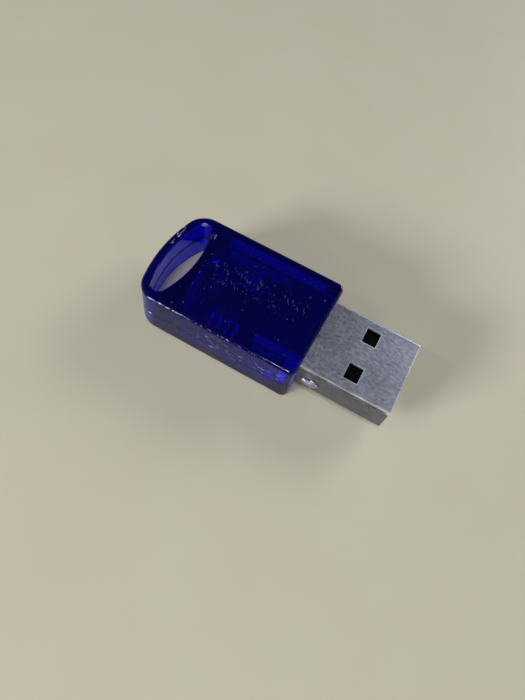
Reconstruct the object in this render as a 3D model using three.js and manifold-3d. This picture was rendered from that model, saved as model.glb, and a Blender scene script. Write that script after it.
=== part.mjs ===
import * as THREE from 'three';
import { mergeVertices } from 'three/addons/utils/BufferGeometryUtils.js';
import Module from 'manifold-3d';

// A small translucent USB drive lying flat. Millimetres, +Z up.
// X runs along the plug, from the keyring end to the mouth. Z = 0 is the underside.
// Lengths along X are first given from the face where the plug leaves the body.

// ---- body ----
const bodyLength = 24.75;
const bodyWidth = 16.5;
const bodyHeight = 7.1;
const endArcRadius = 23.8;
const endCornerRadius = 3.25;
const plugCornerRadius = 1.0;
const edgeRadius = 0.45;
const undersideEdgeRadius = 0.65;
const partingHeight = 3.55;
const partingGap = 0.02;
const sideWall = 1.05;
const plugEndWall = 2.0;
const floorThickness = 0.95;
const roofThickness = 0.9;
const cavityBack = -18.4;
const cavityCornerRadius = 0.9;

// ---- keyring hole, a lens between two arcs ----
const holeOuterApex = -23.4;
const holeOuterRadius = 18.2;
const holeOuterRadiusLow = 16.2;
const holeInnerApex = -19.42;
const holeInnerRadius = 17.2;
const holeTipRadius = 0.95;
const holeLean = 0.8;
const holeFillet = 0.22;
const holeFilletLow = 0.12;
const lowerHoleStep = 0.06;

// ---- plug ----
const plugExposed = 12.75;
const plugBuried = 7.0;
const plugWidth = 12.0;
const plugHeight = 4.5;
const plugCentreHeight = 3.84;
const sheet = 0.3;
const plugBend = 0.5;
const seamInset = 0.13;
const seamGap = 0.34;
const windowFromTip = 6.35;
const windowLong = 2.0;
const windowWide = 2.5;
const windowSpacing = 6.24;
const plugClearance = 0.04;
const shellTabLength = 2.2;
const bumpX = 1.95;
const bumpLong = 1.35;
const bumpProud = 0.5;
const bumpTall = 0.75;
const bumpDrop = 0.34;
const slitFrom = 1.0;
const slitTo = 2.0;
const slitHeight = 3.95;

// ---- tongue and contacts ----
const tongueGap = 0.05;
const tongueRecess = 0.55;
const tongueThickness = 1.9;
const tongueBlockFront = 3.6;
const pocketDepth = 0.9;
const contactWidth = 1.0;
const contactThickness = 0.25;
const contactGap = 0.04;
const powerReach = 11.2;
const dataReach = 10.2;
const powerOffset = 3.5;
const dataOffset = 1.0;

// ---- circuit board ----
const boardBack = -17.8;
const boardFront = -7.3;
const boardHalfWidth = 6.1;
const boardNeck = 5.6;
const boardBottom = 1.25;
const boardThickness = 1.0;
const solderGap = 0.02;
const railWidth = 1.3;

// ---- main chip ----
const chipX = -12.25;
const chipY = -0.58;
const chipLong = 5.23;
const chipWide = 5.25;
const chipLift = 0.15;
const chipThickness = 1.8;
const leadPitch = 1.27;
const leadWidth = 0.42;
const leadThickness = 0.2;
const leadReach = 1.32;

const boardTop = boardBottom + boardThickness;
const plugTop = plugCentreHeight + plugHeight / 2;
const plugBase = plugCentreHeight - plugHeight / 2;
// The origin sits under the middle of the whole object.
const shiftX = (bodyLength - plugExposed) / 2;

const wasm = await Module();
wasm.setup();

function solidOf(geometry) {
  const bare = geometry.clone();
  bare.deleteAttribute('normal');
  bare.deleteAttribute('uv');
  const merged = mergeVertices(bare, 1e-5);
  return new wasm.Manifold(new wasm.Mesh({
    numProp: 3,
    vertProperties: new Float32Array(merged.attributes.position.array),
    triVerts: new Uint32Array(merged.index.array),
  }));
}

function geometryOf(solid) {
  const mesh = solid.getMesh();
  const geometry = new THREE.BufferGeometry();
  geometry.setAttribute('position', new THREE.BufferAttribute(new Float32Array(mesh.vertProperties), 3));
  geometry.setIndex(new THREE.BufferAttribute(new Uint32Array(mesh.triVerts), 1));
  geometry.computeVertexNormals();
  return geometry;
}

function block(x0, x1, y0, y1, z0, z1) {
  const geometry = new THREE.BoxGeometry(x1 - x0, y1 - y0, z1 - z0);
  geometry.translate((x0 + x1) / 2, (y0 + y1) / 2, (z0 + z1) / 2);
  return solidOf(geometry);
}

// Counter-clockwise points of an arc, both ends included.
function arc(cx, cy, radius, from, to, steps) {
  const points = [];
  for (let i = 0; i <= steps; i += 1) {
    const angle = from + (to - from) * i / steps;
    points.push([cx + radius * Math.cos(angle), cy + radius * Math.sin(angle)]);
  }
  return points;
}

// A solid skinned over convex outlines stacked upward, each with as many points.
function loft(levels) {
  const count = levels[0].outline.length;
  const positions = [];
  for (const level of levels) {
    for (const [x, y] of level.outline) {
      positions.push(x, y, level.z);
    }
  }
  const index = [];
  for (let k = 0; k + 1 < levels.length; k += 1) {
    for (let i = 0; i < count; i += 1) {
      const a = k * count + i;
      const b = k * count + (i + 1) % count;
      index.push(a, b, b + count, a, b + count, a + count);
    }
  }
  const top = (levels.length - 1) * count;
  for (let i = 1; i + 1 < count; i += 1) {
    index.push(0, i + 1, i);
    index.push(top, top + i, top + i + 1);
  }
  const geometry = new THREE.BufferGeometry();
  geometry.setAttribute('position', new THREE.Float32BufferAttribute(positions, 3));
  geometry.setIndex(index);
  return solidOf(geometry);
}

// An extruded section whose plane and direction are given by three axes.
function extrude(points, length, uAxis, vAxis, origin) {
  const shape = new THREE.Shape(points.map(([u, v]) => new THREE.Vector2(u, v)));
  const geometry = new THREE.ExtrudeGeometry(shape, { depth: length, bevelEnabled: false, steps: 1 });
  const wAxis = new THREE.Vector3().crossVectors(uAxis, vAxis);
  const matrix = new THREE.Matrix4().makeBasis(uAxis, vAxis, wAxis);
  matrix.setPosition(origin[0], origin[1], origin[2]);
  geometry.applyMatrix4(matrix);
  return solidOf(geometry);
}

const axisX = new THREE.Vector3(1, 0, 0);
const axisY = new THREE.Vector3(0, 1, 0);
const axisZ = new THREE.Vector3(0, 0, 1);

// ---- body outline: straight plug end, straight sides, one broad arc at the far end ----
function bodyOutline(inset) {
  const half = bodyWidth / 2 - inset;
  const small = plugCornerRadius - inset;
  const corner = endCornerRadius - inset;
  const big = endArcRadius - inset;
  const bigX = endArcRadius - bodyLength;
  const cornerY = half - corner;
  const cornerX = bigX - Math.sqrt((big - corner) ** 2 - cornerY ** 2);
  const join = Math.atan2(cornerY, cornerX - bigX);
  return [
    ...arc(-plugCornerRadius, -half + small, small, -Math.PI / 2, 0, 4),
    ...arc(-plugCornerRadius, half - small, small, 0, Math.PI / 2, 4),
    ...arc(cornerX, cornerY, corner, Math.PI / 2, join, 8),
    ...arc(bigX, 0, big, join, 2 * Math.PI - join, 20).slice(1, -1),
    ...arc(cornerX, -cornerY, corner, 2 * Math.PI - join, 1.5 * Math.PI, 8),
  ];
}

// Heights and insets along a rounded edge, from the angles in degrees.
function quarterRound(radius, angles) {
  return angles.map((angle) => {
    const t = THREE.MathUtils.degToRad(angle);
    return { z: radius * (1 - Math.sin(t)), inset: radius * (1 - Math.cos(t)) };
  });
}

function bodyBlock() {
  const lower = quarterRound(undersideEdgeRadius, [90, 60, 30, 0]);
  const upper = quarterRound(edgeRadius, [0, 30, 60, 90]).map(({ z, inset }) => ({ z: bodyHeight - z, inset }));
  return loft([...lower, ...upper].map(({ z, inset }) => ({ z, outline: bodyOutline(inset) })));
}

// ---- keyring hole: the outer wall leans away slightly toward the underside ----
function holeOutline(z, grow) {
  const low = 1 - z / bodyHeight;
  const straightR = holeOuterRadius + (holeOuterRadiusLow - holeOuterRadius) * low;
  const outerR = straightR + grow;
  const innerR = holeInnerRadius + grow;
  const tip = holeTipRadius + grow;
  const outerX = holeOuterApex - holeLean * low + straightR;
  const innerX = holeInnerApex - holeInnerRadius;
  const a = outerR - tip;
  const b = innerR - tip;
  const d = outerX - innerX;
  const tipX = innerX + (b * b - a * a + d * d) / (2 * d);
  const tipY = Math.sqrt(b * b - (tipX - innerX) ** 2);
  const inner = Math.atan2(tipY, tipX - innerX);
  const outer = Math.atan2(tipY, tipX - outerX);
  return [
    ...arc(innerX, 0, innerR, -inner, inner, 14),
    ...arc(tipX, tipY, tip, inner, outer, 6).slice(1, -1),
    ...arc(outerX, 0, outerR, outer, 2 * Math.PI - outer, 14),
    ...arc(tipX, -tipY, tip, 2 * Math.PI - outer, 2 * Math.PI - inner, 6).slice(1, -1),
  ];
}

function holeCutter(step) {
  const lower = quarterRound(holeFilletLow, [90, 60, 30, 0]).map(({ z, inset }) => ({ z, grow: inset }));
  const upper = quarterRound(holeFillet, [0, 30, 60, 90]).map(({ z, inset }) => (
    { z: bodyHeight - z, grow: inset }
  ));
  const levels = [
    { z: -1, grow: holeFilletLow }, ...lower, ...upper, { z: bodyHeight + 1, grow: holeFillet },
  ];
  return loft(levels.map(({ z, grow }) => {
    const level = Math.min(Math.max(z, 0), bodyHeight);
    return { z, outline: holeOutline(level, grow - step) };
  }));
}

// ---- cavity, its back wall a shallow arc beside the hole ----
function cavityOutline() {
  const half = bodyWidth / 2 - sideWall;
  const front = -plugEndWall;
  const r = cavityCornerRadius;
  return [
    ...arc(front - r, -half + r, r, -Math.PI / 2, 0, 4),
    ...arc(front - r, half - r, r, 0, Math.PI / 2, 4),
    [cavityBack + 1.5, half],
    [cavityBack + 0.75, half - 0.35],
    [cavityBack + 0.3, half - 1.9],
    [cavityBack, 0],
    [cavityBack + 0.3, -half + 1.9],
    [cavityBack + 0.75, -half + 0.35],
    [cavityBack + 1.5, -half],
  ];
}

function hollowBody(step) {
  const outline = cavityOutline();
  const cavity = loft([
    { z: floorThickness, outline },
    { z: bodyHeight - roofThickness, outline },
  ]);
  const half = plugWidth / 2 + plugClearance;
  const mouth = block(
    -plugEndWall - 1, 1, -half, half, plugBase - plugClearance, plugTop + plugClearance,
  );
  return bodyBlock().subtract(holeCutter(step)).subtract(cavity).subtract(mouth);
}

function topShell() {
  const keep = block(-40, 40, -20, 20, partingHeight, 20);
  return hollowBody(0).intersect(keep);
}

function bottomShell() {
  const keep = block(-40, 40, -20, 20, -5, partingHeight - partingGap);
  const half = bodyWidth / 2 - sideWall;
  let shell = hollowBody(lowerHoleStep).intersect(keep);
  for (const side of [-1, 1]) {
    const edges = [side * (half + 0.2), side * (half - railWidth)].sort((a, b) => a - b);
    shell = shell.add(block(
      boardBack + 2, boardFront - shellTabLength - 0.4,
      edges[0], edges[1], floorThickness - 0.2, boardBottom - solderGap,
    ));
  }
  return shell;
}

// ---- plug shell: folded sheet, its seam left open just under the near top edge ----
function plugSection() {
  const y = plugWidth / 2;
  const inner = Math.max(plugBend - sheet, 0.05);
  const quarter = Math.PI / 2;
  const seamSide = plugTop - sheet - seamGap;
  return [
    [-y + seamInset, plugTop],
    [-y + seamInset, plugTop - sheet],
    ...arc(y - plugBend, plugTop - plugBend, inner, quarter, 0, 3),
    ...arc(y - plugBend, plugBase + plugBend, inner, 0, -quarter, 3),
    ...arc(-y + plugBend, plugBase + plugBend, inner, -quarter, -2 * quarter, 3),
    [-y + sheet, seamSide],
    [-y, seamSide],
    ...arc(-y + plugBend, plugBase + plugBend, plugBend, 2 * quarter, 3 * quarter, 4),
    ...arc(y - plugBend, plugBase + plugBend, plugBend, -quarter, 0, 4),
    ...arc(y - plugBend, plugTop - plugBend, plugBend, 0, quarter, 4),
  ];
}

function latchBump(side) {
  const geometry = new THREE.SphereGeometry(1, 16, 10);
  geometry.scale(bumpLong, bumpProud, bumpTall);
  geometry.translate(bumpX, side * plugWidth / 2, plugCentreHeight - bumpDrop);
  const inside = block(
    -5, 5, side > 0 ? -20 : -plugWidth / 2 + sheet / 2, side > 0 ? plugWidth / 2 - sheet / 2 : 20, -5, 20,
  );
  const outer = side * plugWidth / 2;
  const open = block(-1, slitTo, Math.min(outer, side * 20), Math.max(outer, side * 20), slitHeight, 20);
  return solidOf(geometry).subtract(inside).subtract(open);
}

function plugShell() {
  let shell = extrude(plugSection(), plugExposed + plugBuried, axisY, axisZ, [-plugBuried, 0, 0]);
  const windowX = plugExposed - windowFromTip;
  for (const side of [-1, 1]) {
    const y = side * windowSpacing / 2;
    shell = shell.subtract(block(
      windowX - windowLong / 2, windowX + windowLong / 2,
      y - windowWide / 2, y + windowWide / 2, plugBase - 1, plugTop + 1,
    ));
    const outer = side * plugWidth / 2;
    const inner = side * (plugWidth / 2 - sheet);
    shell = shell.add(block(
      -plugBuried - shellTabLength, -plugBuried + 0.5,
      Math.min(outer, inner), Math.max(outer, inner), boardBottom + 0.6, boardTop + 1.1,
    ));
    shell = shell.add(latchBump(side));
    const slit = side * (plugWidth / 2 + 0.5);
    const slitEnd = side * (plugWidth / 2 - 0.6);
    shell = shell.subtract(block(
      slitFrom, slitTo, Math.min(slit, slitEnd), Math.max(slit, slitEnd), slitHeight, slitHeight + 0.2,
    ));
  }
  return shell;
}

// ---- tongue: one block that fills the back of the plug, with a shelf along the top ----
function contactCentres() {
  return [
    { name: 'contact_power', y: -powerOffset, reach: powerReach },
    { name: 'contact_data_minus', y: -dataOffset, reach: dataReach },
    { name: 'contact_data_plus', y: dataOffset, reach: dataReach },
    { name: 'contact_ground', y: powerOffset, reach: powerReach },
  ];
}

const tongueTop = plugTop - sheet - tongueGap;
const tongueUnder = tongueTop - tongueThickness;

function plugTongue() {
  const half = plugWidth / 2 - sheet - tongueGap;
  const back = -plugBuried + 0.4;
  let tongue = block(back, plugExposed - tongueRecess, -half, half, tongueUnder, tongueTop);
  const base = plugBase + sheet + tongueGap;
  tongue = tongue.add(block(back, tongueBlockFront, -half + 0.15, half - 0.15, base, tongueTop));
  const windowX = plugExposed - windowFromTip;
  for (const side of [-1, 1]) {
    const y = side * windowSpacing / 2;
    tongue = tongue.subtract(block(
      windowX - 1.3, windowX + 1.6, y - 1.5, y + 1.5, tongueTop - pocketDepth, tongueTop + 1,
    ));
  }
  for (const { y } of contactCentres()) {
    const room = contactWidth / 2 + contactGap;
    tongue = tongue.subtract(block(
      back - 1, tongueBlockFront + 1, y - room, y + room,
      tongueUnder - contactGap * 2 - contactThickness, tongueUnder,
    ));
  }
  return tongue;
}

// ---- contact: a flat strip under the shelf that steps down to a foot on the board ----
function contact(y, reach) {
  const high = tongueUnder - contactGap;
  const low = boardTop + solderGap;
  const t = contactThickness;
  const back = -plugBuried;
  const profile = [
    [reach, high],
    [back - 0.25, high],
    [back - 0.65, low + t],
    [back - 1.9, low + t],
    [back - 1.9, low],
    [back - 0.45, low],
    [back - 0.05, high - t],
    [reach, high - t],
  ];
  return extrude(profile, contactWidth, axisX, axisZ, [0, y + contactWidth / 2, 0]);
}

function circuitBoard() {
  const wide = boardHalfWidth;
  const neckBack = -plugBuried - shellTabLength - 0.3;
  const profile = [
    [boardFront, -boardNeck],
    [boardFront, boardNeck],
    [neckBack, boardNeck],
    [neckBack, wide],
    [boardBack + 1.4, wide],
    [boardBack, wide - 1.4],
    [boardBack, -wide + 1.4],
    [boardBack + 1.4, -wide],
    [neckBack, -wide],
    [neckBack, -boardNeck],
  ];
  return extrude(profile, boardThickness, axisX, axisY, [0, 0, boardBottom]);
}

// ---- chip body with drafted sides, and its gull-wing leads ----
function rectangle(cx, cy, long, wide, inset) {
  const x = long / 2 - inset;
  const y = wide / 2 - inset;
  return [[cx - x, cy - y], [cx + x, cy - y], [cx + x, cy + y], [cx - x, cy + y]];
}

function mainChip() {
  const base = boardTop + chipLift;
  const middle = base + chipThickness * 0.45;
  return loft([
    { z: base, outline: rectangle(chipX, chipY, chipLong, chipWide, 0.18) },
    { z: middle, outline: rectangle(chipX, chipY, chipLong, chipWide, 0) },
    { z: middle + 0.22, outline: rectangle(chipX, chipY, chipLong, chipWide, 0) },
    { z: base + chipThickness, outline: rectangle(chipX, chipY, chipLong, chipWide, 0.2) },
  ]);
}

function chipLead(side, x) {
  const t = leadThickness;
  const shoulder = boardTop + chipLift + chipThickness * 0.45 + 0.21;
  const foot = boardTop + solderGap;
  const root = chipWide / 2 + 0.02;
  const tip = chipWide / 2 + leadReach;
  const profile = [
    [root, shoulder - t],
    [root + 0.3, shoulder - t],
    [root + 0.52, foot],
    [tip, foot],
    [tip, foot + t],
    [root + 0.7, foot + t],
    [root + 0.44, shoulder],
    [root, shoulder],
  ];
  const placed = profile.map(([y, z]) => [chipY + side * y, z]);
  if (side < 0) {
    placed.reverse();
  }
  return extrude(placed, leadWidth, axisY, axisZ, [x - leadWidth / 2, 0, 0]);
}

// ---- small parts soldered to the board ----
function chamferedPart(x, y, long, wide, tall, cut) {
  const base = boardTop + solderGap;
  return loft([
    { z: base, outline: rectangle(x, y, long, wide, cut) },
    { z: base + cut, outline: rectangle(x, y, long, wide, 0) },
    { z: base + tall - cut, outline: rectangle(x, y, long, wide, 0) },
    { z: base + tall, outline: rectangle(x, y, long, wide, cut) },
  ]);
}

function crystalBase() {
  return chamferedPart(-13.0, 4.75, 3.2, 2.0, 0.45, 0.04);
}

function crystalLid() {
  const base = boardTop + solderGap + 0.47;
  return loft([
    { z: base, outline: rectangle(-13.0, 4.75, 2.9, 1.7, 0) },
    { z: base + 0.2, outline: rectangle(-13.0, 4.75, 2.9, 1.7, 0) },
    { z: base + 0.26, outline: rectangle(-13.0, 4.75, 2.9, 1.7, 0.08) },
  ]);
}

// ---- assembly ----
const group = new THREE.Group();
group.name = 'usb_drive';
group.position.x = shiftX;

function place(name, solid, colour, roughness, metalness, opacity = 1) {
  const material = new THREE.MeshStandardMaterial({
    color: colour, roughness, metalness, opacity, transparent: opacity < 1,
  });
  const mesh = new THREE.Mesh(geometryOf(solid), material);
  mesh.name = name;
  group.add(mesh);
}

place('top_shell', topShell(), 0x0b0f86, 0.12, 0, 0.6);
place('bottom_shell', bottomShell(), 0x0b0f86, 0.12, 0, 0.6);
place('plug_shell', plugShell(), 0x8d8f9c, 0.35, 0.95);
place('plug_tongue', plugTongue(), 0x0a0a0b, 0.5, 0);
for (const { name, y, reach } of contactCentres()) {
  place(name, contact(y, reach), 0xc9a24a, 0.3, 1);
}
place('circuit_board', circuitBoard(), 0x1c4a2c, 0.45, 0);
place('main_chip', mainChip(), 0x121316, 0.55, 0);
let leadNumber = 1;
for (const side of [-1, 1]) {
  for (const step of [-1.5, -0.5, 0.5, 1.5]) {
    const x = chipX - side * step * leadPitch;
    place(`chip_lead_${leadNumber}`, chipLead(side, x), 0xc4c6ca, 0.3, 1);
    leadNumber += 1;
  }
}
place('crystal_base', crystalBase(), 0x3a352c, 0.6, 0);
place('crystal_lid', crystalLid(), 0xb9b7ae, 0.3, 1);
const capacitors = [[-16.4, -2.2], [-16.4, 0.2], [-16.4, 2.6]];
capacitors.forEach(([x, y], i) => {
  place(`capacitor_${i + 1}`, chamferedPart(x, y, 0.85, 1.6, 0.8, 0.08), 0x9a7b52, 0.5, 0);
});
const resistors = [[-9.35, 4.75], [-16.1, -4.4], [-8.55, -5.05]];
resistors.forEach(([x, y], i) => {
  place(`resistor_${i + 1}`, chamferedPart(x, y, 1.6, 0.8, 0.45, 0.05), 0x1b1b1d, 0.5, 0);
});

export default group;
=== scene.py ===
import bpy
import bmesh
import math
from mathutils import Matrix, Vector


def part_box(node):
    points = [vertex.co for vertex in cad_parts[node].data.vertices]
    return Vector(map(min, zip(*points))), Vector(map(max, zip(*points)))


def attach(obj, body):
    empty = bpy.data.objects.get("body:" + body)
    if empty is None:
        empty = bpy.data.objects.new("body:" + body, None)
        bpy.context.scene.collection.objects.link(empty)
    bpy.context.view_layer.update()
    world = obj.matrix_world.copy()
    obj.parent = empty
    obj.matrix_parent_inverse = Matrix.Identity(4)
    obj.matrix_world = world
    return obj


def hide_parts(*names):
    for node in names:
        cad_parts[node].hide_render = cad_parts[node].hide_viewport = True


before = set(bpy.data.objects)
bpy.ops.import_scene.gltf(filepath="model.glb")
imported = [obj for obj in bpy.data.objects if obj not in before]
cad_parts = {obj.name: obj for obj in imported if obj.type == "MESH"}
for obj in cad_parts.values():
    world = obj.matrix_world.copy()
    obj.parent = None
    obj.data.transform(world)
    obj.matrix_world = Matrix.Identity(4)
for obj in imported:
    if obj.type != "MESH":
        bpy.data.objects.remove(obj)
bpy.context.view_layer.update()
scene = bpy.context.scene
mm = 0.001
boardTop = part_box("circuit_board")[1].z
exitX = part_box("top_shell")[1].x  # the face where the plug leaves the case
print("frame loaded,", len(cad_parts), "nodes")


# helpers that build and finish meshes
def makeObject(name, verts, faces):
    mesh = bpy.data.meshes.new(name)
    mesh.from_pydata(verts, [], faces)
    mesh.validate()
    obj = bpy.data.objects.new(name, mesh)
    scene.collection.objects.link(obj)
    return obj


def settle(obj):
    # turn what the modifiers give into the plain mesh, then drop them
    bpy.context.view_layer.update()
    graph = bpy.context.evaluated_depsgraph_get()
    mesh = bpy.data.meshes.new_from_object(obj.evaluated_get(graph))
    obj.modifiers.clear()
    old = obj.data
    obj.data = mesh
    bpy.data.meshes.remove(old)


def combine(obj, other, how):
    mod = obj.modifiers.new("cut", "BOOLEAN")
    mod.operation = how
    mod.solver = "EXACT"
    mod.object = other
    settle(obj)
    bpy.data.objects.remove(other)


def smoothShade(obj, angle=28):
    obj.data.shade_smooth()
    obj.data.set_sharp_from_angle(angle=math.radians(angle))
    mod = obj.modifiers.new("normals", "WEIGHTED_NORMAL")
    mod.keep_sharp = True
    mod.weight = 100
    settle(obj)


def tidyMesh(obj, distance=1e-7):
    bm = bmesh.new()
    bm.from_mesh(obj.data)
    bmesh.ops.remove_doubles(bm, verts=bm.verts, dist=distance)
    bmesh.ops.dissolve_degenerate(bm, edges=bm.edges, dist=distance)
    bmesh.ops.recalc_face_normals(bm, faces=bm.faces)
    bm.to_mesh(obj.data)
    bm.free()


def bevelEdges(obj, width, segments=2, angle=35):
    mod = obj.modifiers.new("edge", "BEVEL")
    mod.width = width * mm
    mod.segments = segments
    mod.limit_method = "ANGLE"
    mod.angle_limit = math.radians(angle)
    mod.harden_normals = False
    mod.use_clamp_overlap = True
    settle(obj)


def arc(cx, cy, radius, start, end, steps):
    points = []
    for i in range(steps + 1):
        a = start + (end - start) * i / steps
        points.append((cx + radius * math.cos(a), cy + radius * math.sin(a)))
    return points


def loft(name, levels):
    # skin closed outlines stacked from low to high; x, y, z in millimetres from the exit face
    count = len(levels[0][1])
    verts = []
    for z, outline in levels:
        verts += [(exitX + x * mm, y * mm, z * mm) for x, y in outline]
    faces = []
    for k in range(len(levels) - 1):
        for i in range(count):
            a, b = k * count + i, k * count + (i + 1) % count
            faces.append((a, b, b + count, a + count))
    top = (len(levels) - 1) * count
    faces.append(tuple(reversed(range(count))))
    faces.append(tuple(range(top, top + count)))
    return makeObject(name, verts, faces)


def slab(name, x0, x1, y0, y1, z0, z1):
    rect = [(x0, y0), (x1, y0), (x1, y1), (x0, y1)]
    return loft(name, [(z0, rect), (z1, rect)])


def makeBall(name, middle, size, around, rings):
    bm = bmesh.new()
    bmesh.ops.create_uvsphere(bm, u_segments=around, v_segments=rings, radius=1)
    obj = makeObject(name, [], [])
    bm.to_mesh(obj.data)
    bm.free()
    obj.data.transform(Matrix.Translation(middle) @ Matrix.Diagonal((*size, 1)))
    return obj


def finishPiece(obj, replaced=()):
    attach(obj, "root")
    if replaced:
        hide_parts(*replaced)


# helpers that add nodes to a material
def newMaterial(name):
    material = bpy.data.materials.new(name)
    material.use_nodes = True
    tree = material.node_tree
    tree.nodes.clear()
    output = tree.nodes.new("ShaderNodeOutputMaterial")
    shader = tree.nodes.new("ShaderNodeBsdfPrincipled")
    tree.links.new(shader.outputs["BSDF"], output.inputs["Surface"])
    return material, tree, shader, output


def objectPlace(tree, scale=(1, 1, 1), turn=(0, 0, 0)):
    place = tree.nodes.new("ShaderNodeTexCoord")
    mapping = tree.nodes.new("ShaderNodeMapping")
    mapping.inputs["Scale"].default_value = scale
    mapping.inputs["Rotation"].default_value = turn
    tree.links.new(place.outputs["Object"], mapping.inputs["Vector"])
    return mapping.outputs["Vector"]


def noise(tree, vector, scale, detail=4, roughness=0.55, distortion=0):
    node = tree.nodes.new("ShaderNodeTexNoise")
    node.inputs["Scale"].default_value = scale
    node.inputs["Detail"].default_value = detail
    node.inputs["Roughness"].default_value = roughness
    node.inputs["Distortion"].default_value = distortion
    tree.links.new(vector, node.inputs["Vector"])
    return node.outputs["Fac"]


def ramp(tree, value, stops):
    node = tree.nodes.new("ShaderNodeValToRGB")
    node.color_ramp.elements[0].position = stops[0][0]
    node.color_ramp.elements[1].position = stops[-1][0]
    for at, _ in stops[1:-1]:
        node.color_ramp.elements.new(at)
    for element, (at, colour) in zip(node.color_ramp.elements, stops):
        element.position = at
        grey = not isinstance(colour, tuple)
        element.color = (colour, colour, colour, 1) if grey else (*colour, 1)
    tree.links.new(value, node.inputs["Fac"])
    return node.outputs["Color"]


def maths(tree, how, a, b=None):
    node = tree.nodes.new("ShaderNodeMath")
    node.operation = how
    for socket, value in zip(node.inputs, (a, b)):
        if value is None:
            continue
        if isinstance(value, (int, float)):
            socket.default_value = value
        else:
            tree.links.new(value, socket)
    return node.outputs["Value"]


def mixColours(tree, factor, a, b):
    node = tree.nodes.new("ShaderNodeMix")
    node.data_type = "RGBA"
    for socket, value in ((node.inputs[0], factor), (node.inputs[6], a), (node.inputs[7], b)):
        if isinstance(value, (int, float)):
            socket.default_value = value
        elif isinstance(value, tuple):
            socket.default_value = (*value, 1)
        else:
            tree.links.new(value, socket)
    return node.outputs[2]


def bump(tree, height, strength, distance):
    node = tree.nodes.new("ShaderNodeBump")
    node.inputs["Strength"].default_value = strength
    node.inputs["Distance"].default_value = distance
    tree.links.new(height, node.inputs["Height"])
    return node.outputs["Normal"]


def scratches(tree, turn, scale, stretch, width):
    # long thin marks: a stretched noise, kept only near its middle value
    vector = objectPlace(tree, (scale, scale * stretch, scale), (0, 0, math.radians(turn)))
    value = noise(tree, vector, 1.0, detail=1, roughness=0.4, distortion=0.15)
    away = maths(tree, "ABSOLUTE", maths(tree, "SUBTRACT", value, 0.5))
    return ramp(tree, away, [(0.0, 1.0), (width, 0.0)])


cameraSettings = {
    "target": (0.36, -5.07, 3.5),
    "azimuth": 15.37,
    "elevation": 60.47,
    "roll": 14.9,
    "distance": 70.9,
    "lens": 36.13,
    "sensor": 36,
    "clip": (0.002, 10),
}


def makeCamera(s):
    data = bpy.data.cameras.new("camera")
    data.sensor_fit = "HORIZONTAL"
    data.sensor_width = s["sensor"]
    data.lens = s["lens"]
    data.clip_start, data.clip_end = s["clip"]
    camera = bpy.data.objects.new("camera", data)
    scene.collection.objects.link(camera)
    az, el, roll = (math.radians(s[k]) for k in ("azimuth", "elevation", "roll"))
    back = Vector((math.sin(az) * math.cos(el), -math.cos(az) * math.cos(el), math.sin(el)))
    right = Vector((math.cos(az), math.sin(az), 0))
    up = back.cross(right)
    rolledRight = right * math.cos(roll) + up * math.sin(roll)
    rolledUp = back.cross(rolledRight)
    turn = Matrix((rolledRight, rolledUp, back)).transposed().to_4x4()
    where = Vector(s["target"]) * mm + back * s["distance"] * mm
    camera.matrix_world = Matrix.Translation(where) @ turn
    scene.camera = camera


makeCamera(cameraSettings)
print("camera placed")


# the case: two halves of clear blue plastic, in millimetres from the exit face
caseSettings = {
    "length": 24.75, "width": 16.5, "height": 7.1,
    "endRadius": 23.8, "endCorner": 3.25, "plugCorner": 1.0,
    "edge": 0.45, "underEdge": 0.65, "parting": 3.55, "gap": 0.02, "lip": 0.05,
    "side": 1.05, "plugEnd": 2.0, "floor": 0.95, "roof": 0.9, "back": -18.4,
    "holeOuter": -23.4, "holeOuterRadius": 18.2, "holeOuterRadiusLow": 16.2,
    "holeInner": -19.42, "holeInnerRadius": 17.2,
    "holeTip": 0.95, "holeLean": 0.8, "holeFillet": 0.22, "holeFilletLow": 0.12, "holeStep": 0.06,
    "plugTop": 6.09, "plugBase": 1.59, "plugHalf": 6.0, "clearance": 0.04,
    "cavityCorner": 0.9, "cavityEndCorner": 1.2, "cavityEndInset": 1.6,
    "cavityEndRadius": 22.0, "cavityEndTurn": 0.26, "cavityEndSweep": 0.96,
    "railFrom": -15.8, "railTo": -9.9, "railLow": 0.75, "railHigh": 1.23,
    "railSunk": 0.2, "railWide": 1.3,
}


def caseOutline(inset, s=caseSettings):
    half = s["width"] / 2 - inset
    small = s["plugCorner"] - inset
    corner = s["endCorner"] - inset
    big = s["endRadius"] - inset
    bigX = s["endRadius"] - s["length"]
    cornerY = half - corner
    cornerX = bigX - math.sqrt((big - corner) ** 2 - cornerY ** 2)
    join = math.atan2(cornerY, cornerX - bigX)
    points = arc(-s["plugCorner"], -half + small, small, -math.pi / 2, 0, 12)
    points += arc(-s["plugCorner"], half - small, small, 0, math.pi / 2, 12)
    points += arc(cornerX, cornerY, corner, math.pi / 2, join, 20)
    points += arc(bigX, 0, big, join, 2 * math.pi - join, 60)[1:-1]
    points += arc(cornerX, -cornerY, corner, 2 * math.pi - join, 1.5 * math.pi, 20)
    return points


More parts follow.
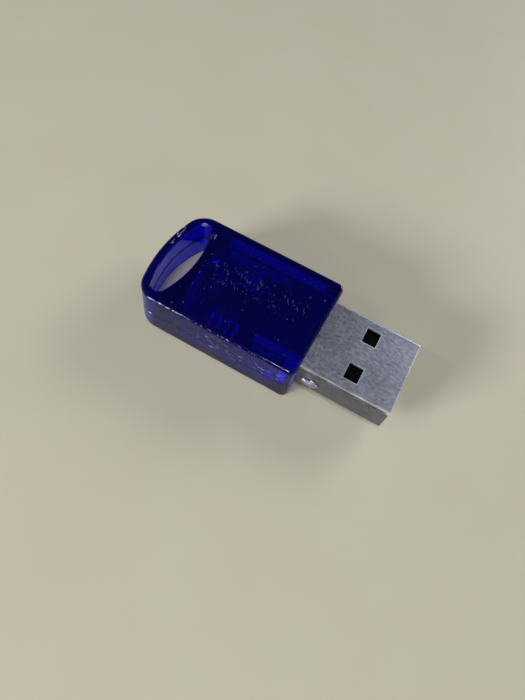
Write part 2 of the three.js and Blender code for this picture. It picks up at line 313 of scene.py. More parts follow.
def holeOutline(z, grow, s=caseSettings):
    low = 1 - z / s["height"]
    straightR = s["holeOuterRadius"] + (s["holeOuterRadiusLow"] - s["holeOuterRadius"]) * low
    outerR, innerR, tip = straightR + grow, s["holeInnerRadius"] + grow, s["holeTip"] + grow
    outerX = s["holeOuter"] - s["holeLean"] * low + straightR
    innerX = s["holeInner"] - s["holeInnerRadius"]
    a, b, d = outerR - tip, innerR - tip, outerX - innerX
    tipX = innerX + (b * b - a * a + d * d) / (2 * d)
    tipY = math.sqrt(b * b - (tipX - innerX) ** 2)
    inner = math.atan2(tipY, tipX - innerX)
    outer = math.atan2(tipY, tipX - outerX)
    points = arc(innerX, 0, innerR, -inner, inner, 44)
    points += arc(tipX, tipY, tip, inner, outer, 16)[1:-1]
    points += arc(outerX, 0, outerR, outer, 2 * math.pi - outer, 44)
    points += arc(tipX, -tipY, tip, 2 * math.pi - outer, 2 * math.pi - inner, 16)[1:-1]
    return points


def quarter(radius, steps=6):
    # height and inset along a rounded edge, from the wall to the flat
    pairs = []
    for i in range(steps + 1):
        t = math.pi / 2 * i / steps
        pairs.append((radius * (1 - math.sin(t)), radius * (1 - math.cos(t))))
    return pairs


def halfBlock(name, upper, s=caseSettings):
    edge = quarter(s["edge"] if upper else s["underEdge"])  # (height below the face, inset)
    if upper:
        levels = [(s["parting"], s["lip"]), (s["parting"] + s["lip"], 0.0)]
        levels += [(s["height"] - h, i) for h, i in edge]
    else:
        levels = [(h, i) for h, i in reversed(edge)]
        top = s["parting"] - s["gap"]
        levels += [(top - s["lip"], 0.0), (top, s["lip"])]
    return loft(name, [(z, caseOutline(inset)) for z, inset in levels])


def holeCutter(name, upper, s=caseSettings):
    fillet = quarter(s["holeFillet"] if upper else s["holeFilletLow"], 5)
    step = 0.0 if upper else s["holeStep"]
    if upper:
        levels = [(s["parting"] - 1, 0.0)]
        levels += [(s["height"] - h, i) for h, i in fillet]
        levels += [(s["height"] + 1, s["holeFillet"])]
    else:
        levels = [(-1, s["holeFilletLow"])]
        levels += [(h, i) for h, i in reversed(fillet)]
        levels += [(s["parting"] + 1, 0.0)]
    shaped = []
    for z, grow in levels:
        level = min(max(z, 0), s["height"])
        shaped.append((z, holeOutline(level, grow - step)))
    return loft(name, shaped)


def cavityCutter(name, s=caseSettings):
    half, front, back = s["width"] / 2 - s["side"], -s["plugEnd"], s["back"]
    r, small, big = s["cavityCorner"], s["cavityEndCorner"], s["cavityEndRadius"]
    smallX, turn, sweep = back + s["cavityEndInset"], s["cavityEndTurn"], s["cavityEndSweep"]
    points = arc(front - r, -half + r, r, -math.pi / 2, 0, 8)
    points += arc(front - r, half - r, r, 0, math.pi / 2, 8)
    points += arc(smallX, half - small, small, math.pi / 2, math.pi * sweep, 8)
    points += arc(back + big, 0, big, math.pi - turn, math.pi + turn, 20)
    points += arc(smallX, -half + small, small, math.pi * (2 - sweep), math.pi * 1.5, 8)
    return loft(name, [(s["floor"], points), (s["height"] - s["roof"], points)])


def makeCaseHalf(name, upper, s=caseSettings):
    half = halfBlock(name, upper)
    combine(half, holeCutter("cutHole", upper), "DIFFERENCE")
    combine(half, cavityCutter("cutCavity"), "DIFFERENCE")
    wide, c = s["plugHalf"] + s["clearance"], s["clearance"]
    mouth = slab("cutMouth", -s["plugEnd"] - 1, 1, -wide, wide, s["plugBase"] - c, s["plugTop"] + c)
    combine(half, mouth, "DIFFERENCE")
    return half


def addRails(half, s=caseSettings):
    # a ledge along each side wall carries the board
    inner = s["width"] / 2 - s["side"]
    for side in (-1, 1):
        y0, y1 = sorted((side * (inner + s["railSunk"]), side * (inner - s["railWide"])))
        rail = slab("rail", s["railFrom"], s["railTo"], y0, y1, s["railLow"], s["railHigh"])
        combine(half, rail, "UNION")


caseTop = makeCaseHalf("caseTop", True)
caseBottom = makeCaseHalf("caseBottom", False)
addRails(caseBottom)
for half in (caseTop, caseBottom):
    tidyMesh(half)
    smoothShade(half)
print("case halves", len(caseTop.data.polygons), len(caseBottom.data.polygons))


plugSettings = {
    "bare": 12.75, "buried": 7.0, "half": 6.0, "top": 6.09, "base": 1.59,
    "sheet": 0.3, "bend": 0.5, "seamInset": 0.13, "seamGap": 0.34,
    "windowX": 6.4, "windowY": 3.12, "windowLong": 2.0, "windowWide": 2.5,
    "tab": 2.2, "tabLow": 1.85, "tabHigh": 3.35,
    "bumpX": 1.95, "bumpZ": 3.5, "bumpLong": 1.35, "bumpProud": 0.5, "bumpTall": 0.75,
    "bumpSteps": (40, 24),
    "slitFrom": 1.0, "slitTo": 2.0, "slitZ": 3.95, "slitTall": 0.2,
    "slitOut": 0.5, "slitIn": 0.6, "tabJoin": 0.5, "windowCorner": 0.12, "edge": 0.07,
}


def plugSection(s=plugSettings):
    y, bend, sheet = s["half"], s["bend"], s["sheet"]
    tight = bend - sheet
    seamTop = s["top"] - sheet - s["seamGap"]
    q = math.pi / 2
    points = [(-y + s["seamInset"], s["top"]), (-y + s["seamInset"], s["top"] - sheet)]
    points += arc(y - bend, s["top"] - bend, tight, q, 0, 6)
    points += arc(y - bend, s["base"] + bend, tight, 0, -q, 6)
    points += arc(-y + bend, s["base"] + bend, tight, -q, -2 * q, 6)
    points += [(-y + sheet, seamTop), (-y, seamTop)]
    points += arc(-y + bend, s["base"] + bend, bend, 2 * q, 3 * q, 8)
    points += arc(y - bend, s["base"] + bend, bend, -q, 0, 8)
    points += arc(y - bend, s["top"] - bend, bend, 0, q, 8)
    return points


def makePlugShell(s=plugSettings):
    section = plugSection()
    count = len(section)
    verts = []
    for x in (-s["buried"], s["bare"]):
        verts += [(exitX + x * mm, y * mm, z * mm) for y, z in section]
    faces = [(i, (i + 1) % count, count + (i + 1) % count, count + i) for i in range(count)]
    faces += [tuple(reversed(range(count))), tuple(range(count, 2 * count))]
    shell = makeObject("plugShell", verts, faces)
    tidyMesh(shell)
    for side in (-1, 1):
        y = side * s["windowY"]
        window = slab(
            "cutWindow", s["windowX"] - s["windowLong"] / 2, s["windowX"] + s["windowLong"] / 2,
            y - s["windowWide"] / 2, y + s["windowWide"] / 2, s["base"] - 1, s["top"] + 1)
        bm = bmesh.new()
        bm.from_mesh(window.data)
        upright = [e for e in bm.edges if abs(e.verts[0].co.z - e.verts[1].co.z) > 0.1 * mm]
        bmesh.ops.bevel(bm, geom=upright, offset=s["windowCorner"] * mm,
                        segments=4, affect="EDGES", profile=0.5)
        bm.to_mesh(window.data)
        bm.free()
        combine(shell, window, "DIFFERENCE")
        y0, y1 = sorted((side * s["half"], side * (s["half"] - s["sheet"])))
        tab = slab("tab", -s["buried"] - s["tab"], -s["buried"] + s["tabJoin"],
                   y0, y1, s["tabLow"], s["tabHigh"])
        combine(shell, tab, "UNION")
        combine(shell, latchBump(side), "UNION")
        y0, y1 = sorted((side * (s["half"] + s["slitOut"]), side * (s["half"] - s["slitIn"])))
        slit = slab("slit", s["slitFrom"], s["slitTo"], y0, y1,
                    s["slitZ"], s["slitZ"] + s["slitTall"])
        combine(shell, slit, "DIFFERENCE")
    tidyMesh(shell)
    return shell


def latchBump(side, s=plugSettings):
    middle = (exitX + s["bumpX"] * mm, side * s["half"] * mm, s["bumpZ"] * mm)
    size = (s["bumpLong"] * mm, s["bumpProud"] * mm, s["bumpTall"] * mm)
    obj = makeBall("bump", middle, size, *s["bumpSteps"])
    beyond = 20  # clear of the whole plug
    # above the slit only the far part of the bump is left
    y0, y1 = sorted((side * s["half"], side * beyond))
    combine(obj, slab("open", -1, s["slitTo"], y0, y1, s["slitZ"], beyond), "DIFFERENCE")
    y0, y1 = sorted((side * (s["half"] - s["sheet"] / 2), -side * beyond))
    combine(obj, slab("trim", -5, 9, y0, y1, -5, beyond), "DIFFERENCE")
    return obj


plugShell = makePlugShell()
bevelEdges(plugShell, plugSettings["edge"], segments=3, angle=40)
smoothShade(plugShell, angle=35)
print("plug shell", len(plugShell.data.polygons))


plasticSettings = {
    "tint": (0.02, 0.022, 0.92), "clear": 0.975,
    "absorb": 2600.0, "passes": (0.03, 0.02, 0.92), "ior": 1.42, "shine": 0.2,
    "wornScale": 420, "smooth": (0.4, 0.03), "worn": (0.75, 0.16),
    "rippleScale": 160, "rippleStrength": 0.05, "rippleDepth": 0.0003,
}


def makeCasePlastic(s=plasticSettings):
    material, tree, shader, output = newMaterial("clearBluePlastic")
    shader.inputs["Base Color"].default_value = (*s["tint"], 1)
    shader.inputs["Transmission Weight"].default_value = s["clear"]
    shader.inputs["IOR"].default_value = s["ior"]
    shader.inputs["Specular IOR Level"].default_value = s["shine"]
    worn = noise(tree, objectPlace(tree), s["wornScale"], detail=5)
    tree.links.new(ramp(tree, worn, [s["smooth"], s["worn"]]), shader.inputs["Roughness"])
    waves = noise(tree, objectPlace(tree), s["rippleScale"], detail=2)
    ripple = bump(tree, waves, s["rippleStrength"], s["rippleDepth"])
    tree.links.new(ripple, shader.inputs["Normal"])
    volume = tree.nodes.new("ShaderNodeVolumeAbsorption")
    volume.inputs["Color"].default_value = (*s["passes"], 1)
    volume.inputs["Density"].default_value = s["absorb"]
    tree.links.new(volume.outputs["Volume"], output.inputs["Volume"])
    return material


steelSettings = {
    "grainScale": (1500, 2600, 1500), "blotchScale": 260, "grimeScale": 1900,
    "grain": ((0.34, (0.27, 0.29, 0.40)), (0.66, (0.47, 0.49, 0.63))),
    "grime": (0.19, 0.185, 0.19), "grimeReach": 3.0,
    "grimeSpecks": ((0.48, 0.0), (0.64, 1.0)), "grimeFade": ((0.0, 1.0), (0.35, 0.75), (1.0, 0.12)),
    # the buried end's dark tone is painted shade, and its bright near edge is a painted highlight
    "buried": (0.10, 0.105, 0.16), "buriedFade": ((0.0, 0.0), (0.12, 1.0)),
    "buriedEdge": (0.90, 0.90, 0.96), "buriedEdgeFade": ((0.075, 0.0), (0.11, 1.0)),
    "flank": (0.10, 0.10, 0.11), "flankFrom": -6.6, "flankSpan": 1.2,
    "flankShare": ((0.40, 0.0), (0.45, 0.72), (0.60, 0.72), (0.68, 0.0)),
    "scratch": (0.75, 0.76, 0.82), "scratchTurns": (20, -38, 77), "scratchShare": 0.22,
    "scratchScale": 1500, "scratchStretch": 0.10, "scratchWidth": 0.010,
    # the pale band along the mouth, the plate's edge and the window rims is a painted highlight
    "rubbed": (0.95, 0.95, 1.0), "rubbedWidth": 0.16, "plateEdge": 5.82,
    "rubbedFade": ((0.0, 1.0), (0.5, 0.7), (1.0, 0.0)), "rubbedPatches": ((0.35, 0.35), (0.6, 0.85)),
    "roughness": 0.24, "grainRoughness": 0.15, "blotchRoughness": 0.2,
    "bumpStrength": 0.25, "bumpDepth": 0.00001,
}


def makePlugSteel(s=steelSettings, plug=plugSettings):
    material, tree, shader, _ = newMaterial("scratchedSteel")
    shader.inputs["Metallic"].default_value = 1
    grain = noise(tree, objectPlace(tree, s["grainScale"]), 1.0, detail=5, roughness=0.75)
    blotch = noise(tree, objectPlace(tree), s["blotchScale"], detail=5)
    tone = ramp(tree, grain, s["grain"])
    parts = tree.nodes.new("ShaderNodeSeparateXYZ")
    tree.links.new(objectPlace(tree), parts.inputs["Vector"])
    acrossY = parts.outputs["Y"]

    # distances in millimetres
    fromCase = maths(tree, "DIVIDE", maths(tree, "SUBTRACT", parts.outputs["X"], exitX), mm)
    acrossPlug = maths(tree, "DIVIDE", acrossY, mm)

    # grime gathers in a band beside the case
    grime = noise(tree, objectPlace(tree), s["grimeScale"], detail=6, roughness=0.7)
    band = ramp(tree, maths(tree, "DIVIDE", fromCase, s["grimeReach"]), s["grimeFade"])
    specks = maths(tree, "MULTIPLY", ramp(tree, grime, s["grimeSpecks"]), band)
    tone = mixColours(tree, specks, tone, s["grime"])

    # the buried end is painted dark as shade, but for a painted highlight strip along its near edge
    buriedShadeMask = ramp(tree, maths(tree, "DIVIDE", fromCase, -1.0), s["buriedFade"])
    share = maths(tree, "ADD", maths(tree, "DIVIDE", acrossY, 2 * plug["half"] * mm), 0.5)
    buriedHighlightMask = ramp(tree, share, s["buriedEdgeFade"])
    buried = mixColours(tree, buriedHighlightMask, s["buriedEdge"], s["buried"])
    tone = mixColours(tree, buriedShadeMask, tone, buried)

    # one side wall is painted darker than the top plate, as if in shade
    outward = maths(tree, "SUBTRACT", acrossY, s["flankFrom"] * mm)
    outward = maths(tree, "DIVIDE", outward, s["flankSpan"] * mm)
    tone = mixColours(tree, ramp(tree, outward, s["flankShare"]), tone, s["flank"])

    for turn in s["scratchTurns"]:
        marks = scratches(tree, turn, s["scratchScale"], s["scratchStretch"], s["scratchWidth"])
        marks = maths(tree, "MULTIPLY", marks, s["scratchShare"])
        tone = mixColours(tree, marks, tone, s["scratch"])

    # a painted highlight, in patches, along the mouth, the plate's edge and the rims of the windows
    alongWindow = maths(tree, "ABSOLUTE", maths(tree, "SUBTRACT", fromCase, plug["windowX"]))
    alongWindow = maths(tree, "SUBTRACT", alongWindow, plug["windowLong"] / 2)
    acrossWindow = maths(tree, "ABSOLUTE", acrossPlug)
    acrossWindow = maths(tree, "ABSOLUTE", maths(tree, "SUBTRACT", acrossWindow, plug["windowY"]))
    acrossWindow = maths(tree, "SUBTRACT", acrossWindow, plug["windowWide"] / 2)
    fromWindow = maths(tree, "MAXIMUM", maths(tree, "MAXIMUM", alongWindow, acrossWindow), 0)
    fromMouth = maths(tree, "SUBTRACT", plug["bare"], fromCase)
    fromPlate = maths(tree, "ABSOLUTE", maths(tree, "ADD", acrossPlug, s["plateEdge"]))
    nearest = maths(tree, "MINIMUM", maths(tree, "MINIMUM", fromMouth, fromPlate), fromWindow)
    nearest = maths(tree, "DIVIDE", nearest, s["rubbedWidth"])
    rubbed = ramp(tree, nearest, s["rubbedFade"])
    patchy = ramp(tree, blotch, s["rubbedPatches"])
    tone = mixColours(tree, maths(tree, "MULTIPLY", rubbed, patchy), tone, s["rubbed"])
    tree.links.new(tone, shader.inputs["Base Color"])

    rough = maths(tree, "MULTIPLY", grain, s["grainRoughness"])
    rough = maths(tree, "ADD", rough, maths(tree, "MULTIPLY", blotch, s["blotchRoughness"]))
    rough = maths(tree, "ADD", rough, s["roughness"])
    tree.links.new(rough, shader.inputs["Roughness"])
    tree.links.new(bump(tree, grain, s["bumpStrength"], s["bumpDepth"]), shader.inputs["Normal"])
    return material


plainSettings = {
    "blackTonguePlastic": {"colour": (0.0016, 0.0016, 0.002), "roughness": 0.6, "shine": 0.08},
    "contactGold": {"colour": (0.75, 0.55, 0.24), "roughness": 0.28, "metallic": 1.0},
    "boardSolderMask": {"colour": (0.02, 0.10, 0.05), "roughness": 0.35},
    "chipEpoxy": {"colour": (0.012, 0.012, 0.014), "roughness": 0.55},
    "tinPlate": {"colour": (0.88, 0.88, 0.90), "roughness": 0.25, "metallic": 1.0, "spread": 0.1},
    "ceramicBase": {"colour": (0.06, 0.05, 0.04), "roughness": 0.6},
    "capacitorTan": {"colour": (0.30, 0.20, 0.11), "roughness": 0.5},
    "resistorBlack": {"colour": (0.012, 0.012, 0.014), "roughness": 0.4},
    # the pale grains are scuffs and dust in some places and painted highlights in others
    "scuffPale": {"colour": (0.50, 0.51, 0.66), "roughness": 0.4, "scale": 3000, "spread": 0.3},
    "scuffBlue": {"colour": (0.12, 0.12, 0.62), "roughness": 0.3, "scale": 3000, "spread": 0.3},
    "strokeBlue": {"colour": (0.006, 0.006, 0.12), "roughness": 0.5, "scale": 3000, "spread": 0.3},
}


def makePlain(name, colour, roughness, metallic=0.0, scale=700, spread=0.2, shine=0.5):
    # one tone with a fine mottle in colour, gloss and height
    material, tree, shader, _ = newMaterial(name)
    shader.inputs["Metallic"].default_value = metallic
    shader.inputs["Specular IOR Level"].default_value = shine
    value = noise(tree, objectPlace(tree), scale)
    dark = tuple(c * (1 - spread) for c in colour)
    light = tuple(min(c * (1 + spread), 1) for c in colour)
    low, high = 0.3, 0.7
    tree.links.new(ramp(tree, value, [(low, dark), (high, light)]), shader.inputs["Base Color"])
    rough = ramp(tree, value, [(low, roughness * 0.8), (high, roughness * 1.2)])
    tree.links.new(rough, shader.inputs["Roughness"])
    mottle = bump(tree, value, strength=0.15, distance=0.00002)
    tree.links.new(mottle, shader.inputs["Normal"])
    return material


casePlastic = makeCasePlastic()
plugSteel = makePlugSteel()
looks = {name: makePlain(name, **values) for name, values in plainSettings.items()}
print("materials", 2 + len(looks))

caseTop.data.materials.append(casePlastic)
caseBottom.data.materials.append(casePlastic)
finishPiece(caseTop, ["top_shell"])
finishPiece(caseBottom, ["bottom_shell"])
plugShell.data.materials.append(plugSteel)
finishPiece(plugShell, ["plug_shell"])


def copyOf(nodeName, pieceName):
    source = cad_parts[nodeName]
    mesh = source.data.copy()
    mesh.transform(source.matrix_world)
    mesh.materials.clear()
    obj = bpy.data.objects.new(pieceName, mesh)
    scene.collection.objects.link(obj)
    bm = bmesh.new()
    bm.from_mesh(mesh)
    bmesh.ops.remove_doubles(bm, verts=bm.verts, dist=1e-6)
    bmesh.ops.dissolve_limit(bm, angle_limit=0.01, verts=bm.verts, edges=bm.edges)
    bmesh.ops.recalc_face_normals(bm, faces=bm.faces)
    bm.to_mesh(mesh)
    bm.free()
    return obj


def softCopy(nodeName, pieceName, width, segments, look, slotName):
    obj = copyOf(nodeName, pieceName)
    bevelEdges(obj, width, segments, angle=30)
    smoothShade(obj, angle=40)
    obj.data.materials.append(looks[look])
    finishPiece(obj, [nodeName])


# name, edge width in millimetres, edge steps, look and slot
workSettings = {
    "plug_tongue": ("tongue", 0.06, 3, "blackTonguePlastic", "tongue_plastic"),
    "circuit_board": ("board", 0.03, 2, "boardSolderMask", "board_laminate"),
    "main_chip": ("chip", 0.07, 3, "chipEpoxy", "chip_black"),
    "crystal_base": ("crystalBase", 0.04, 2, "ceramicBase", "crystal_ceramic"),
    "crystal_lid": ("crystalLid", 0.04, 3, "tinPlate", "lead_tin"),
}
# the same for the pieces that come in several
familySettings = {
    "contact": (0.03, 3, "contactGold", "contact_gold"),
    "chip_lead": (0.03, 3, "tinPlate", "lead_tin"),
    "capacitor": (0.05, 3, "capacitorTan", "capacitor_tan"),
    "resistor": (0.03, 2, "resistorBlack", "resistor_black"),
}
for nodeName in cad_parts:
    for start, values in familySettings.items():
        if nodeName.startswith(start):
            first, *rest = nodeName.split("_")
            pieceName = first + "".join(word.capitalize() for word in rest)
            workSettings[nodeName] = (pieceName, *values)
nodeLooks = {"top_shell": casePlastic, "bottom_shell": casePlastic, "plug_shell": plugSteel}
for nodeName, values in workSettings.items():
    softCopy(nodeName, *values)
    nodeLooks[nodeName] = looks[values[3]]
for nodeName, material in nodeLooks.items():
    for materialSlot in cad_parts[nodeName].material_slots:
        materialSlot.material = material
print("inner pieces", len(workSettings))


solderSettings = {"long": 1.0, "wide": 0.24, "tall": 0.42, "outward": -0.10, "lift": 0.02,
                  "steps": (24, 14)}


def makeSolder(s=solderSettings):
    # a wetted joint round the foot of every chip lead
    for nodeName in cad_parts:
        if not nodeName.startswith("chip_lead"):
            continue
        low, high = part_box(nodeName)
        out = 1 if low.y + high.y > 0 else -1
        foot = high.y if out > 0 else low.y
        middleY = foot + out * s["outward"] * mm
        middle = Vector(((low.x + high.x) / 2, middleY, boardTop + s["lift"] * mm))
        size = (s["wide"] * mm, s["long"] * mm, s["tall"] * mm)
        name = "solder" + "".join(word.capitalize() for word in nodeName.split("_")[2:])
        obj = makeBall(name, middle, size, *s["steps"])
        obj.data.shade_smooth()
        obj.data.materials.append(looks["tinPlate"])
        finishPiece(obj)


makeSolder()


def scatterTree():
    # grains thrown into a box, each turned into a small rounded flake
    tree = bpy.data.node_groups.new("scatter", "GeometryNodeTree")
    face = tree.interface
    face.new_socket(name="Geometry", in_out="OUTPUT", socket_type="NodeSocketGeometry")
    kinds = (("Count", "Int"), ("Low", "Vector"), ("High", "Vector"), ("Smallest", "Vector"),
             ("Largest", "Vector"), ("Turn", "Vector"), ("Seed", "Int"), ("Surface", "Material"))
    names = {}
    for name, kind in kinds:
        socket = face.new_socket(name=name, in_out="INPUT", socket_type="NodeSocket" + kind)
        names[name] = socket.identifier
    given = tree.nodes.new("NodeGroupInput")
    result = tree.nodes.new("NodeGroupOutput")
    link = tree.links.new

    def chance(low, high, seedShift):
        node = tree.nodes.new("FunctionNodeRandomValue")
        node.data_type = "FLOAT_VECTOR"
        if low is None:
            node.inputs[0].default_value = (0, 0, 0)
        else:
            link(low, node.inputs[0])
        link(high, node.inputs[1])
        seed = tree.nodes.new("ShaderNodeMath")
        seed.operation = "ADD"
        link(given.outputs["Seed"], seed.inputs[0])
        seed.inputs[1].default_value = seedShift
        link(seed.outputs[0], node.inputs["Seed"])
        return node.outputs[0]

    points = tree.nodes.new("GeometryNodePoints")
    link(given.outputs["Count"], points.inputs["Count"])
    link(chance(given.outputs["Low"], given.outputs["High"], 0), points.inputs["Position"])
    ball = tree.nodes.new("GeometryNodeMeshIcoSphere")
    ball.inputs["Radius"].default_value = 1
    ball.inputs["Subdivisions"].default_value = 2
    put = tree.nodes.new("GeometryNodeInstanceOnPoints")
    link(points.outputs[0], put.inputs["Points"])
    link(ball.outputs["Mesh"], put.inputs["Instance"])
    link(chance(None, given.outputs["Turn"], 5), put.inputs["Rotation"])
    link(chance(given.outputs["Smallest"], given.outputs["Largest"], 9), put.inputs["Scale"])
    real = tree.nodes.new("GeometryNodeRealizeInstances")
    link(put.outputs["Instances"], real.inputs["Geometry"])
    paint = tree.nodes.new("GeometryNodeSetMaterial")
    link(real.outputs["Geometry"], paint.inputs["Geometry"])
    link(given.outputs["Surface"], paint.inputs["Material"])
    link(paint.outputs["Geometry"], result.inputs["Geometry"])
    return tree, names


grainTree, grainNames = scatterTree()


def scatter(name, s):
    obj = makeObject(name, [], [])
    mod = obj.modifiers.new("grains", "NODES")
    mod.node_group = grainTree
    shift = Vector((exitX, 0, 0))
    mod[grainNames["Count"]] = s["count"]
    mod[grainNames["Low"]] = tuple(Vector(s["low"]) * mm + shift)
    mod[grainNames["High"]] = tuple(Vector(s["high"]) * mm + shift)
    mod[grainNames["Smallest"]] = tuple(Vector(s["smallest"]) * mm)
    mod[grainNames["Largest"]] = tuple(Vector(s["largest"]) * mm)
    mod[grainNames["Turn"]] = s["turn"]
    mod[grainNames["Seed"]] = s["seed"]
    mod[grainNames["Surface"]] = looks[s["look"]]
    settle(obj)
    obj.data.shade_smooth()
    finishPiece(obj)


# boxes in millimetres from the exit face, each filled with grains
scatterSettings = {
    # pale grains here are a painted highlight on the rim at the hole's far tip
    "tipScuffs": {"count": 16, "low": (-22.3, 6.2, 7.03), "high": (-21.6, 6.9, 7.10),
                  "smallest": (0.02, 0.02, 0.015), "largest": (0.12, 0.06, 0.03),
                  "turn": (0.0, 0.0, 1.2), "seed": 31, "look": "scuffPale"},
    "rimScuffs": {"count": 26, "low": (-24.15, 0.9, 7.09), "high": (-23.7, 4.6, 7.105),
                  "smallest": (0.015, 0.03, 0.008), "largest": (0.05, 0.16, 0.015),
                  "turn": (0.0, 0.0, 0.5), "seed": 32, "look": "scuffPale"},
    # pale grains here are a painted highlight beside the hole's far tip
    "holeScuffs": {"count": 12, "low": (-20.3, 4.7, 7.09), "high": (-19.3, 5.8, 7.105),
                   "smallest": (0.015, 0.015, 0.008), "largest": (0.08, 0.05, 0.015),
                   "turn": (0.0, 0.0, 3.0), "seed": 33, "look": "scuffPale"},
    # pale flecks on the near wall are painted glints
    "wallSparks": {"count": 14, "low": (-14.5, -8.262, 3.1), "high": (-1.5, -8.25, 5.4),
                   "smallest": (0.05, 0.008, 0.012), "largest": (0.30, 0.018, 0.025),
                   "turn": (0.0, 0.5, 0.0), "seed": 23, "look": "scuffPale"},
    "patternDust": {"count": 44, "low": (-17.0, -1.2, 7.10), "high": (-3.0, 3.0, 7.106),
                    "smallest": (0.01, 0.01, 0.008), "largest": (0.028, 0.028, 0.016),
                    "turn": (0.0, 0.0, 6.2), "seed": 24, "look": "scuffPale"},
    # pale grains along the near top edge: scuffs that also serve as a painted highlight along that
    # edge
    "edgeScuffsEnd": {"count": 46, "low": (-21.6, -8.18, 6.90), "high": (-16.5, -8.06, 7.02),
                      "smallest": (0.03, 0.02, 0.02), "largest": (0.16, 0.06, 0.05),
                      "turn": (0.0, 0.0, 0.4), "seed": 11, "look": "scuffPale"},
    "edgeScuffsMiddle": {"count": 40, "low": (-17.0, -8.16, 6.94), "high": (-4.0, -8.08, 7.0),
                         "smallest": (0.02, 0.015, 0.015), "largest": (0.09, 0.035, 0.035),
                         "turn": (0.0, 0.0, 0.4), "seed": 12, "look": "scuffPale"},
    "wallScuffs": {"count": 46, "low": (-15.5, -8.262, 3.0), "high": (-1.2, -8.245, 6.2),
                   "smallest": (0.03, 0.006, 0.015), "largest": (0.34, 0.02, 0.04),
                   "turn": (0.0, 0.5, 0.0), "seed": 13, "look": "scuffBlue"},
    "topDust": {"count": 46, "low": (-19.0, -7.5, 7.098), "high": (-0.8, 7.5, 7.104),
                "smallest": (0.015, 0.015, 0.008), "largest": (0.05, 0.04, 0.02),
                "turn": (0.0, 0.0, 6.2), "seed": 14, "look": "scuffPale"},
    "topStrokesUpper": {"count": 34, "low": (-17.2, 0.7, 7.095), "high": (-3.0, 2.2, 7.105),
                        "smallest": (0.03, 0.18, 0.012), "largest": (0.055, 0.48, 0.022),
                        "turn": (0.0, 0.0, 0.6), "seed": 15, "look": "strokeBlue"},
    "topStrokesLower": {"count": 26, "low": (-16.8, -1.1, 7.095), "high": (-6.0, 0.0, 7.105),
                        "smallest": (0.03, 0.10, 0.012), "largest": (0.05, 0.28, 0.02),
                        "turn": (0.0, 0.0, 0.6), "seed": 16, "look": "strokeBlue"},
}
for name, values in scatterSettings.items():
    scatter(name, values)
print("scuffs and pattern", len(scatterSettings))


# the floor lies a hair under the object, so no two faces share a plane
floorSettings = {
    "size": 1.2, "drop": -0.00002, "colour": (0.43, 0.417, 0.347), "mottle": (0.96, 0.96, 0.94),
    "mottleScale": 60, "mottleFrom": 0.3, "mottleTo": 0.7, "roughness": 0.55, "shine": 0.2,
}


def makeFloor(s=floorSettings):
    h, z = s["size"] / 2, s["drop"]
    floor = makeObject("floor", [(-h, -h, z), (h, -h, z), (h, h, z), (-h, h, z)], [(0, 1, 2, 3)])
    material, tree, shader, _ = newMaterial("paleFloor")
    cloud = noise(tree, objectPlace(tree), s["mottleScale"])
    duller = tuple(c * share for c, share in zip(s["colour"], s["mottle"]))
    pale = ramp(tree, cloud, [(s["mottleFrom"], duller), (s["mottleTo"], s["colour"])])
    tree.links.new(pale, shader.inputs["Base Color"])
    shader.inputs["Roughness"].default_value = s["roughness"]
    shader.inputs["Specular IOR Level"].default_value = s["shine"]
    floor.data.materials.append(material)


def areaLight(name, place, aim, width, height, power, colour):
    data = bpy.data.lights.new(name, "AREA")
    data.shape = "RECTANGLE"
    data.size = width
    data.size_y = height
    data.energy = power
    data.color = colour
    lamp = bpy.data.objects.new(name, data)
    scene.collection.objects.link(lamp)
    lamp.location = place
    lamp.rotation_euler = (Vector(aim) - Vector(place)).to_track_quat("-Z", "Y").to_euler()


roomSettings = {
    "near": (0.05, 0.05, 0.055), "far": (0.22, 0.22, 0.215), "dark": (0.016, 0.018, 0.024),
    "nearTo": 0.2, "farFrom": 0.75, "darkWay": (-0.2, 0.56, 0.81), "paleFrom": 0.80, "darkFrom": 0.95,
}


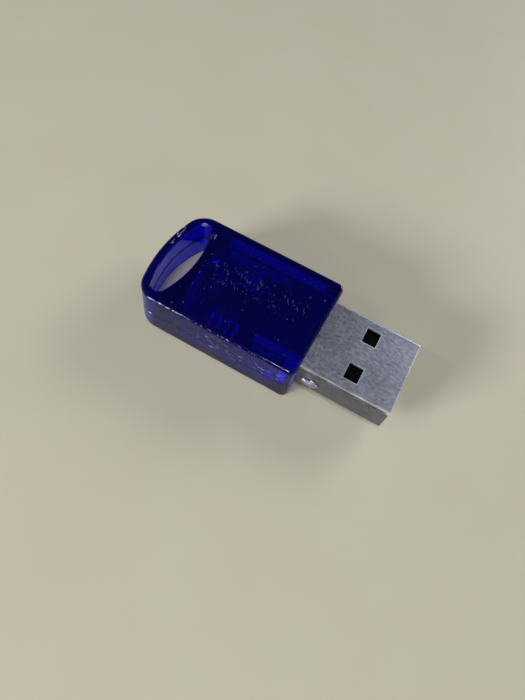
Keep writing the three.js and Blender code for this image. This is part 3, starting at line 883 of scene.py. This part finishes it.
def makeRoom(s=roomSettings):
    # a room paler on the far side, with one dark patch overhead beyond the case
    world = bpy.data.worlds.new("room")
    scene.world = world
    world.use_nodes = True
    tree = world.node_tree
    place = tree.nodes.new("ShaderNodeTexCoord")
    dot = tree.nodes.new("ShaderNodeVectorMath")
    dot.operation = "DOT_PRODUCT"
    dot.inputs[1].default_value = Vector(s["darkWay"]).normalized()
    tree.links.new(place.outputs["Generated"], dot.inputs[0])
    parts = tree.nodes.new("ShaderNodeSeparateXYZ")
    tree.links.new(place.outputs["Generated"], parts.inputs["Vector"])
    depth = maths(tree, "ADD", maths(tree, "MULTIPLY", parts.outputs["Y"], 0.5), 0.5)
    pale = ramp(tree, depth, [(s["nearTo"], s["near"]), (s["farFrom"], s["far"])])
    patch = ramp(tree, dot.outputs["Value"], [(s["paleFrom"], 0.0), (s["darkFrom"], 1.0)])
    sky = mixColours(tree, patch, pale, s["dark"])
    tree.links.new(sky, tree.nodes["Background"].inputs["Color"])
    tree.nodes["Background"].inputs["Strength"].default_value = 1.0


# three broad lights, and two small ones that only make highlights
lightSettings = {
    "windowLight": {"way": (-0.50, -0.80, 0.28), "away": 0.8, "width": 0.26, "height": 0.14,
                    "power": 8.2, "colour": (1.0, 0.98, 0.92)},
    "ceilingLight": {"way": (0.05, -0.36, 0.93), "away": 0.7, "width": 0.22, "height": 0.22,
                     "power": 2.2, "colour": (1.0, 0.97, 0.92)},
    "farLight": {"way": (0.42, 0.80, 0.40), "away": 0.8, "width": 0.45, "height": 0.22,
                 "power": 3.6, "colour": (1.0, 0.98, 0.95)},
    "sparkLight": {"way": (-0.62, -0.45, 0.64), "away": 0.6, "width": 0.02, "height": 0.02,
                   "power": 0.30, "colour": (1.0, 1.0, 0.98)},
    "rimLight": {"way": (0.75, -0.58, 0.30), "away": 0.6, "width": 0.05, "height": 0.05,
                 "power": 0.35, "colour": (1.0, 1.0, 1.0)},
}


def makeLights():
    for name, s in lightSettings.items():
        place = Vector(s["way"]).normalized() * s["away"]
        areaLight(name, place, (0, 0, 0), s["width"], s["height"], s["power"], s["colour"])


makeFloor()
makeRoom()
makeLights()
scene.view_settings.view_transform = "Standard"
print("floor and lights set")
